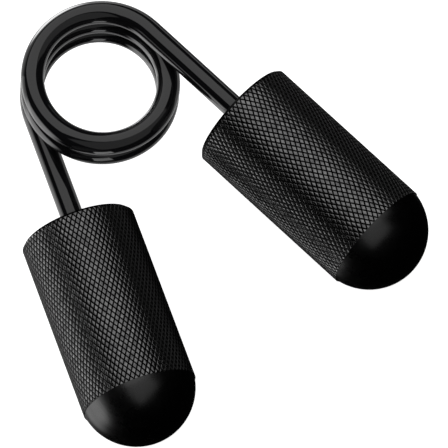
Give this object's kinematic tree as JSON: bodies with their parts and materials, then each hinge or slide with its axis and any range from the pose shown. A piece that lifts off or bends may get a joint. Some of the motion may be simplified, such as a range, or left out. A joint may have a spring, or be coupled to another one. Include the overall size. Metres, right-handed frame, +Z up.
{
  "type": "hand grip strengthener",
  "caption": "Hand grip strengthener: knurled handles with domed ends on the legs of a close-wound torsion spring, squeezed together by hand.",
  "frame": {"origin": "on the table, under the middle of the part's outline", "axes": "+Z up from the table that the part lies on; +Y from the domed handle ends back to the coil; +X from the left handle, which lies flat, to the right handle, which is a coil height higher on the spring and rests on the far edge of its knurling. The coil's axis leans 12.56 degrees from +Z."},
  "size_m": [0.1082, 0.1146, 0.0367],
  "materials": {
    "spring_wire": "glossy black coating over round spring steel wire",
    "handle_metal": "black satin finish over turned aluminium, with fine diamond knurling on the grip and a smooth dome"
  },
  "bodies": {
    "left_half": {"left_handle": "handle_metal", "torsion_spring": "spring_wire"},
    "right_half": {"right_handle": "handle_metal"}
  },
  "joints": [
    {"name": "squeeze", "type": "hinge", "parent": "left_half", "child": "right_half", "pos_m": [0.00041, 0.03543, 0.01989], "axis": [0.2118, -0.0497, 0.9761], "range_deg": [-32.5, 0], "stiffness_Nm_per_rad": 57, "deforming": ["torsion_spring"]}
  ]
}
